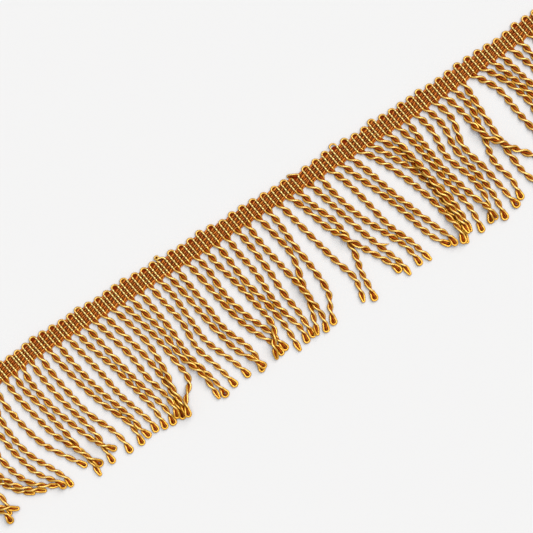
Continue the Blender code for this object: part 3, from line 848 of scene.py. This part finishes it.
def fabric_shader(name, roughness, specular, metallic=0.0):
    """A new material with its shader's constants set on the shader itself."""
    material = bpy.data.materials.new(name)
    material.use_nodes = True
    shader = material.node_tree.nodes["Principled BSDF"]
    shader.inputs["Roughness"].default_value = roughness
    shader.inputs["Metallic"].default_value = metallic
    shader.inputs["IOR"].default_value = 1.5
    shader.inputs["Specular IOR Level"].default_value = specular
    return material, material.node_tree, shader


def named_value(tree, name):
    """The value that a piece keeps under this name at each of its points."""
    return add_node(tree, "ShaderNodeAttribute", {"attribute_name": name}).outputs["Fac"]


def math_node(tree, operation, first, second=0.0):
    """One sum."""
    return add_node(tree, "ShaderNodeMath", {"operation": operation}, i0=first, i1=second).outputs[0]


def mixed(tree, share, first, second):
    """Two colours mixed by a share; each is a colour, or a node's output."""
    ends = [end if isinstance(end, bpy.types.NodeSocket) else solid(end) for end in (first, second)]
    node = add_node(tree, "ShaderNodeMix", {"data_type": "RGBA"}, i0=share, i6=ends[0], i7=ends[1])
    return node.outputs[2]


def crevice(tree, reach_mm, low, high):
    """How open a point is, by ambient occlusion: 0 in the folds where yarns press together, 1 where nothing
    is near; it places painted shade and painted highlight.
    """
    open_share = add_node(tree, "ShaderNodeAmbientOcclusion", {"samples": 8}, Distance=reach_mm * MM)
    return steep(tree, open_share.outputs["AO"], low, high)


def strands(tree, turns, pitch_mm):
    """The fine strands of a spun yarn: a wave that winds round it, from 0 to 1."""
    wound = math_node(tree, "ADD", math_node(tree, "MULTIPLY", named_value(tree, "around"), turns),
                      math_node(tree, "DIVIDE", named_value(tree, "along"), pitch_mm))
    wave = math_node(tree, "SINE", math_node(tree, "MULTIPLY", wound, 2 * math.pi))
    return add_node(tree, "ShaderNodeMath", {"operation": "MULTIPLY_ADD"}, i0=wave, i1=0.5, i2=0.5).outputs[0]


def cloud(tree, size_mm, low, high):
    """Soft uneven patches of about this size, from 0 to 1, stretched like steep."""
    coordinates = add_node(tree, "ShaderNodeTexCoord").outputs["Object"]
    noise = add_node(tree, "ShaderNodeTexNoise", Vector=coordinates, Scale=1 / (size_mm * MM), Detail=2.0,
                     Roughness=0.5)
    return steep(tree, noise.outputs[0], low, high)


def steep(tree, value, low, high):
    """A value stretched so that low becomes 0 and high becomes 1."""
    return add_node(tree, "ShaderNodeMapRange", i0=value, i1=low, i2=high).outputs[0]


def upward(tree, low, high):
    """How far a face looks up: 1 on the crown of a yarn as it lies, less on its flanks; it places painted
    highlight on crowns and painted shade on flanks.
    """
    facing = add_node(tree, "ShaderNodeTexCoord").outputs["Normal"]
    return steep(tree, add_node(tree, "ShaderNodeSeparateXYZ", i0=facing).outputs["Z"], low, high)


def raised(tree, shader, height, strength, depth_mm):
    """Bump on a shader."""
    bump = add_node(tree, "ShaderNodeBump", Height=height, Strength=strength, Distance=depth_mm * MM)
    tree.links.new(bump.outputs[0], shader.inputs["Normal"])


def solid(shade):
    """A colour with its alpha."""
    return (*shade, 1.0)


def rust_viscose(yarns, name, specular):
    """Bulky spun viscose, deep rust: satiny, in uneven patches, with orange mixed in partly as its own tone
    and partly as painted light, and painted shade near black in its folds.
    """
    material, tree, shader = fabric_shader(name, roughness=0.42, specular=specular)
    shader.inputs["Specular Tint"].default_value = solid(linear("#ffc8a0"))
    base = mixed(tree, cloud(tree, size_mm=1.1, low=0.38, high=0.62), yarns.rust_dark, yarns.rust)
    # Orange mixed in by each point's shade: partly the viscose's own tone, partly painted light
    warm = mixed(tree, named_value(tree, "shade"), base, yarns.orange)
    # Painted shade: near black wherever ambient occlusion finds yarns close by
    clear = crevice(tree, reach_mm=1.5, low=0.46, high=1.0)
    tree.links.new(mixed(tree, clear, yarns.rust_painted_shade, warm), shader.inputs["Base Color"])
    # The strands are drawn coarser than they are, because they would be too fine to show
    raised(tree, shader, strands(tree, turns=3.0, pitch_mm=1.1), strength=0.55, depth_mm=0.09)
    return material


def gold_gimp(yarns):
    """Gold gimp yarn, a shiny filament wound on a core: a satin metallic glint, a painted highlight on its
    crown, and painted shade in brown in its folds and on its flanks.
    """
    material, tree, shader = fabric_shader("gold_gimp_yarn", roughness=0.28, specular=0.9, metallic=0.4)
    shader.inputs["Specular Tint"].default_value = solid(linear("#ffd080"))
    patches = math_node(tree, "MULTIPLY", cloud(tree, size_mm=2.2, low=0.3, high=0.7), 0.2)
    light = math_node(tree, "ADD", named_value(tree, "shade"), patches)
    # Painted highlight: the lighter gold goes on the open, upward-facing crown, as much as each point's shade
    # says
    crown = math_node(tree, "MULTIPLY", crevice(tree, reach_mm=1.8, low=0.45, high=0.95),
                      upward(tree, low=0.6, high=0.98))
    lit = mixed(tree, math_node(tree, "MULTIPLY", light, crown), yarns.gold, yarns.gold_light)
    # Painted shade: the dark gold goes into the folds and onto the flanks and undersides
    clear = math_node(tree, "MULTIPLY", crevice(tree, reach_mm=1.8, low=0.1, high=0.6),
                      upward(tree, low=-0.3, high=0.6))
    tree.links.new(mixed(tree, clear, yarns.gold_painted_shade, lit), shader.inputs["Base Color"])
    # The filament's close winding is drawn coarser than it is, because it would be too fine to show
    raised(tree, shader, strands(tree, turns=2.0, pitch_mm=0.42), strength=0.35, depth_mm=0.05)
    return material


def ground_cloth(yarns):
    """The heading's woven viscose ground, seen only deep between the ribs and up under the picots' arches:
    matt, close weft lines, kept dark, which partly paints the shade of those hollows.
    """
    material, tree, shader = fabric_shader("rust_ground_weave", roughness=0.7, specular=0.05)
    patches = math_node(tree, "MULTIPLY", cloud(tree, size_mm=1.2, low=0.3, high=0.7), 0.5)
    tree.links.new(mixed(tree, patches, yarns.rust_dark, yarns.rust), shader.inputs["Base Color"])
    # The weft is drawn coarser than it is, because its threads would be too fine to show
    weft = add_node(tree, "ShaderNodeTexWave", {"bands_direction": "Y"}, Scale=300.0, Distortion=1.5,
                    Detail=1.0, Vector=add_node(tree, "ShaderNodeTexCoord").outputs["Object"])
    raised(tree, shader, weft.outputs["Fac"], strength=0.5, depth_mm=0.12)
    return material


def pale_floor(stage):
    """A plain matt floor."""
    material, _, shader = fabric_shader("pale_floor", roughness=0.9, specular=0.1)
    shader.inputs["Base Color"].default_value = solid(stage.floor)
    return material


def heading_spans():
    """Each run between two neighbouring gold arms: its middle, half width, rise, and if a picot tops it."""
    picots = all_picots()
    spans = []
    for picot, following in itertools.zip_longest(picots, picots[1:]):
        spans.append((picot.along + ARM_MIDDLE, ARM_SPREAD, picot.rise - picot.eye, True))
        if following:
            gap = (picot.along + following.along) / 2 + ARM_MIDDLE
            half = (following.along - picot.along) / 2 - ARM_SPREAD
            spans.append((gap, half, (picot.rise + following.rise) / 2, False))
    return spans


def top_edge(topped, rise, sideways):
    """How far down the ground starts: a low valley between picots, and higher up under each one's arch."""
    if not topped:
        return VALLEY - VALLEY_FOLLOWS * max(rise, VALLEY_LOWEST)
    arch = math.sqrt(max(0.0, 1.0 - sideways ** 2))
    return ARCH_SIDE - rise - (ARCH_SIDE - ARCH_TOP) * arch


class TRIM_OT_heading_ground(bpy.types.Operator):
    """Weaves the heading's dark ground, a thin sheet scalloped along its picot edge, whose dark under the
    arches partly paints their shade
    """
    bl_idname = "trim.heading_ground"
    bl_label = "Heading ground"

    def execute(self, context):
        yarns = context.scene.trim_yarns
        columns = []
        for middle, half, rise, topped in heading_spans():
            for part in GROUND_COLUMNS:
                foot = foot_down(middle) + (0.0 if topped else CORD_FOOT_DEEPER)
                columns.append((middle + part * half, top_edge(topped, rise, part), foot))
        shape = bmesh.new()
        count = len(columns) - 1
        bmesh.ops.create_grid(shape, x_segments=count, y_segments=GROUND_ROWS, size=0.5)
        for vert in shape.verts:
            along, top, foot = columns[round((vert.co.x + 0.5) * count)]
            down = top + (foot - top) * (0.5 - vert.co.y)
            vert.co = heading_point(along + leaned(down), down, GROUND_TOP)
        under = bmesh.ops.extrude_face_region(shape, geom=list(shape.faces), use_keep_orig=True)
        for item in under["geom"]:
            if isinstance(item, bmesh.types.BMVert):
                item.co.z = GROUND_UNDER * MM
        bmesh.ops.recalc_face_normals(shape, faces=shape.faces)
        mesh = bpy.data.meshes.new("heading_ground")
        shape.to_mesh(mesh)
        shape.free()
        mesh.materials.append(ground_cloth(yarns))
        ground = seated("heading_ground", mesh, "root")
        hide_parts("heading")
        return {"FINISHED"}


class TRIM_OT_heading_ribs(bpy.types.Operator):
    """Sets the plump rust ribs of the heading between its gold arms"""
    bl_idname = "trim.heading_ribs"
    bl_label = "Heading ribs"

    def execute(self, context):
        yarns = context.scene.trim_yarns
        chance = random.Random(RIB_SEED)
        pitch = yarns.rib_width / MM
        points, turns, sizes, shades = [], [], [], []
        for middle, half, rise, topped in heading_spans():
            top = top_edge(topped, rise, 0.0)
            rows = [foot_down(middle) - LOWEST_ROW]
            while rows[-1] - ROW_PITCH > top + (RIB_UNDER_ARCH if topped else 2 * RIB_UNDER_VALLEY):
                rows.append(rows[-1] - ROW_PITCH)
            if not topped:
                rows.append(top + RIB_UNDER_VALLEY)
            for here, (later, thick, lower, painted_darker) in itertools.product(rows, RIB_STRANDS):
                down = here + later
                place = heading_point(middle + leaned(down), down, RIB_HEIGHT - lower)
                points.append(place + Vector((0, 0, chance.uniform(-RIB_BOB, RIB_BOB) * MM)))
                turns.append((0.0, chance.uniform(-RIB_ROCK, RIB_ROCK),
                              RIB_TILT + chance.uniform(-RIB_TURN, RIB_TURN)))
                sizes.append(((half + RIB_UNDER_ARM) * MM * chance.uniform(*RIB_LENGTHS),
                              pitch * thick * MM * chance.uniform(*RIB_THICKNESSES), RIB_HALF_HEIGHT * MM))
                low = ease((down - RIB_LOW_FROM) / RIB_LOW_OVER)
                # Painted light: each rib's lower strand is painted darker, as if in the shade of the upper
                # one
                shade = RIB_SHADE - painted_darker + RIB_LOW_SHADE * low + chance.uniform(*RIB_SHADE_RANGE)
                shades.append(min(1.0, max(0.0, shade)))
        mesh = bpy.data.meshes.new("heading_ribs")
        mesh.from_pydata(points, [], [])
        keep(mesh, turn=turns, size=sizes, shade=shades)
        material = rust_viscose(yarns, "rust_viscose_ribs", specular=0.5)
        grown("heading_ribs", mesh, rib_tree(), material, "root", "fringe", Segments=RIB_SEGMENTS,
              Rings=RIB_RINGS)
        return {"FINISHED"}


def picot_half(picot, side, settings):
    """Half of a picot in gold yarn: from the middle of its arch down one arm to the heading's foot."""
    radius = settings.arm_width / MM / 2
    top = ARCH_TIP - picot.rise
    lowest = foot_down(picot.along) - LOWEST_ROW
    stops = root_down(picot.along) - ARM_STOPS
    sinks = root_down(picot.along) - ARM_SINKS
    line = []
    slipped = SLIPPED_ARCHES.get(picot.along, ())
    half = slipped[len(slipped) // 2:] if side > 0 else slipped[len(slipped) // 2::-1]
    for along, down, height in half:
        line.append((along - picot.along - leaned(down), down, height, radius, SLIPPED_SHADE))
    # Painted highlight: the arch and a slipped picot take less of it than the tight arms below
    for turn in () if slipped else ARCH_TURNS:
        line.append((ARM_MIDDLE + side * ARM_SPREAD * math.sin(turn),
                     top + ARCH_RADIUS * (1 - math.cos(turn)),
                     PICOT_HEIGHT + (ARM_HEIGHT - PICOT_HEIGHT) * ease(turn / 2),
                     radius * (1 + ARCH_FULLER - ARCH_FULLER * math.sin(turn)), ARCH_SHADE))
    down = line[-1][1] + ARM_STEP
    while down < stops:
        sink = ease((down - sinks) / (stops - sinks))
        swell = -math.cos(2 * math.pi * (down - lowest) / ROW_PITCH) * (1 - sink)
        # Painted highlight: the arms are painted light, most on each bead's swell
        line.append((ARM_MIDDLE + side * ARM_SPREAD, down,
                     (ARM_HEIGHT + ARM_BEAD * swell) * (1 - sink) + CORD_REST * sink,
                     radius * (1 + ARM_BEAD_SWELL * swell), ARM_SHADE + ARM_BEAD_SHADE * swell))
        down += ARM_STEP
    return [(heading_mm(picot.along + offset + leaned(down), down, height), thick, shade)
            for offset, down, height, thick, shade in line]


def laid_cords():
    """Each cord's spine and the half width between the gold arms that it grows from."""
    picots = all_picots()
    plans = cord_plans()
    heights = cord_heights(plans)
    laid = []
    for order, cord in enumerate(CORDS):
        route, length = plans[cord.name]
        half = (picots[order + 1].along - picots[order].along) / 2 - ARM_SPREAD
        laid.append((cord, Spine(route, length, heights[cord.name]), half))
    return laid


def loose_yarn(bit, shade):
    """A loose bit of yarn as a line of points."""
    return [(level_mm(along, down, height), radius, shade) for along, down, height, radius in bit]


class TRIM_OT_twisted_yarns(bpy.types.Operator):
    """Runs one gold yarn through every picot, arm, cord and end loop, and twists the rust plies with it"""
    bl_idname = "trim.twisted_yarns"
    bl_label = "Gold yarn and cords"

    def execute(self, context):
        yarns = context.scene.trim_yarns
        picots = all_picots()
        chain = picot_half(picots[0], -1, yarns)[::-1]
        plies = []
        chance = random.Random(TWIST_SEED)
        for order, (cord, spine, half) in enumerate(laid_cords()):
            gold, rust = cord_yarns(cord, spine, half, yarns, chance)
            chain += picot_half(picots[order], 1, yarns)[1:] + gold
            chain += picot_half(picots[order + 1], -1, yarns)[::-1]
            plies.append(rust)
        plies += [loose_yarn(bit, 0.0) for bit in LOOSE_RUST]
        chain += picot_half(picots[-1], 1, yarns)[1:]
        knots = [loose_yarn(bit, KNOT_SHADE) for bit in LOOSE_GOLD]
        tree = yarn_tree()
        grown("gold_yarn", yarn_lines("gold_yarn", [chain] + knots), tree, gold_gimp(yarns), "root",
              "heading", Sides=YARN_SIDES)
        material = rust_viscose(yarns, "rust_viscose_plies", specular=0.1)
        rust = grown("rust_plies", yarn_lines("rust_plies", plies), tree, material, "root", "fringe",
                     Sides=YARN_SIDES)
        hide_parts("fringe")
        return {"FINISHED"}


class TRIM_OT_stage(bpy.types.Operator):
    """Sets the pale floor, the soft light and the camera straight above"""
    bl_idname = "trim.stage"
    bl_label = "Floor, light and camera"

    def execute(self, context):
        stage = context.scene.trim_stage
        bpy.ops.mesh.primitive_plane_add(size=FLOOR_SIZE)
        floor = context.object
        floor.name = "floor"
        floor.data.materials.append(pale_floor(stage))
        middle = level_point(VIEW_ALONG, VIEW_DOWN, 0.0)
        up = Vector((-math.sin(VIEW_ROLL), math.cos(VIEW_ROLL), 0.0))
        across = Vector((math.cos(VIEW_ROLL), math.sin(VIEW_ROLL), 0.0))
        for name, rise, spread, power in (("key_light", KEY_RISE, KEY_SPREAD, stage.key_power),
                                          ("top_light", TOP_RISE, TOP_SPREAD, stage.top_power)):
            lamp = bpy.data.lights.new(name, "SUN")
            lamp.energy = power
            lamp.color = stage.key
            lamp.angle = spread
            light = bpy.data.objects.new(name, lamp)
            aim = (up * math.cos(KEY_TURN) + across * math.sin(KEY_TURN)) * math.cos(rise)
            aim.z = math.sin(rise)
            light.location = middle + aim
            light.rotation_euler = aim.to_track_quat("Z", "Y").to_euler()
            context.scene.collection.objects.link(light)
        world = bpy.data.worlds.new("even_light")
        world.use_nodes = True
        sky = world.node_tree.nodes["Background"]
        sky.inputs["Color"].default_value = solid(stage.fill)
        sky.inputs["Strength"].default_value = stage.fill_strength
        context.scene.world = world
        context.scene.view_settings.view_transform = "Standard"
        lens = bpy.data.cameras.new("camera")
        lens.sensor_width = SENSOR
        lens.lens = SENSOR * VIEW_DISTANCE / (PHOTO_PIXELS * MM_PER_PIXEL * MM)
        lens.clip_end = VIEW_REACH
        camera = bpy.data.objects.new("camera", lens)
        camera.location = middle + Vector((0, 0, VIEW_DISTANCE))
        camera.rotation_euler = (0.0, 0.0, VIEW_ROLL)
        context.scene.collection.objects.link(camera)
        context.scene.camera = camera
        return {"FINISHED"}


class TRIM_PT_panel(bpy.types.Panel):
    """The trim's sizes, colours and pieces"""
    bl_idname = "TRIM_PT_panel"
    bl_label = "Cord fringe trim"
    bl_space_type = "VIEW_3D"
    bl_region_type = "UI"
    bl_category = "Trim"

    def draw(self, context):
        layout = self.layout
        for group in (context.scene.trim_yarns, context.scene.trim_stage):
            for name in group.bl_rna.properties.keys():
                if name not in ("rna_type", "name"):
                    layout.prop(group, name)
        for operator in PIECES:
            layout.operator(operator.bl_idname)


PIECES = (TRIM_OT_stage, TRIM_OT_heading_ground, TRIM_OT_heading_ribs, TRIM_OT_twisted_yarns)
CLASSES = (TRIM_PG_yarns, TRIM_PG_stage) + PIECES + (TRIM_PT_panel,)


def register():
    for kind in CLASSES:
        bpy.utils.register_class(kind)
    bpy.types.Scene.trim_yarns = bpy.props.PointerProperty(type=TRIM_PG_yarns)
    bpy.types.Scene.trim_stage = bpy.props.PointerProperty(type=TRIM_PG_stage)


def unregister():
    del bpy.types.Scene.trim_stage
    del bpy.types.Scene.trim_yarns
    for kind in reversed(CLASSES):
        bpy.utils.unregister_class(kind)


def main():
    """Registers the panel and builds every piece."""
    register()
    bpy.ops.trim.stage()
    bpy.ops.trim.heading_ground()
    bpy.ops.trim.heading_ribs()
    bpy.ops.trim.twisted_yarns()


if __name__ == "__main__":
    main()
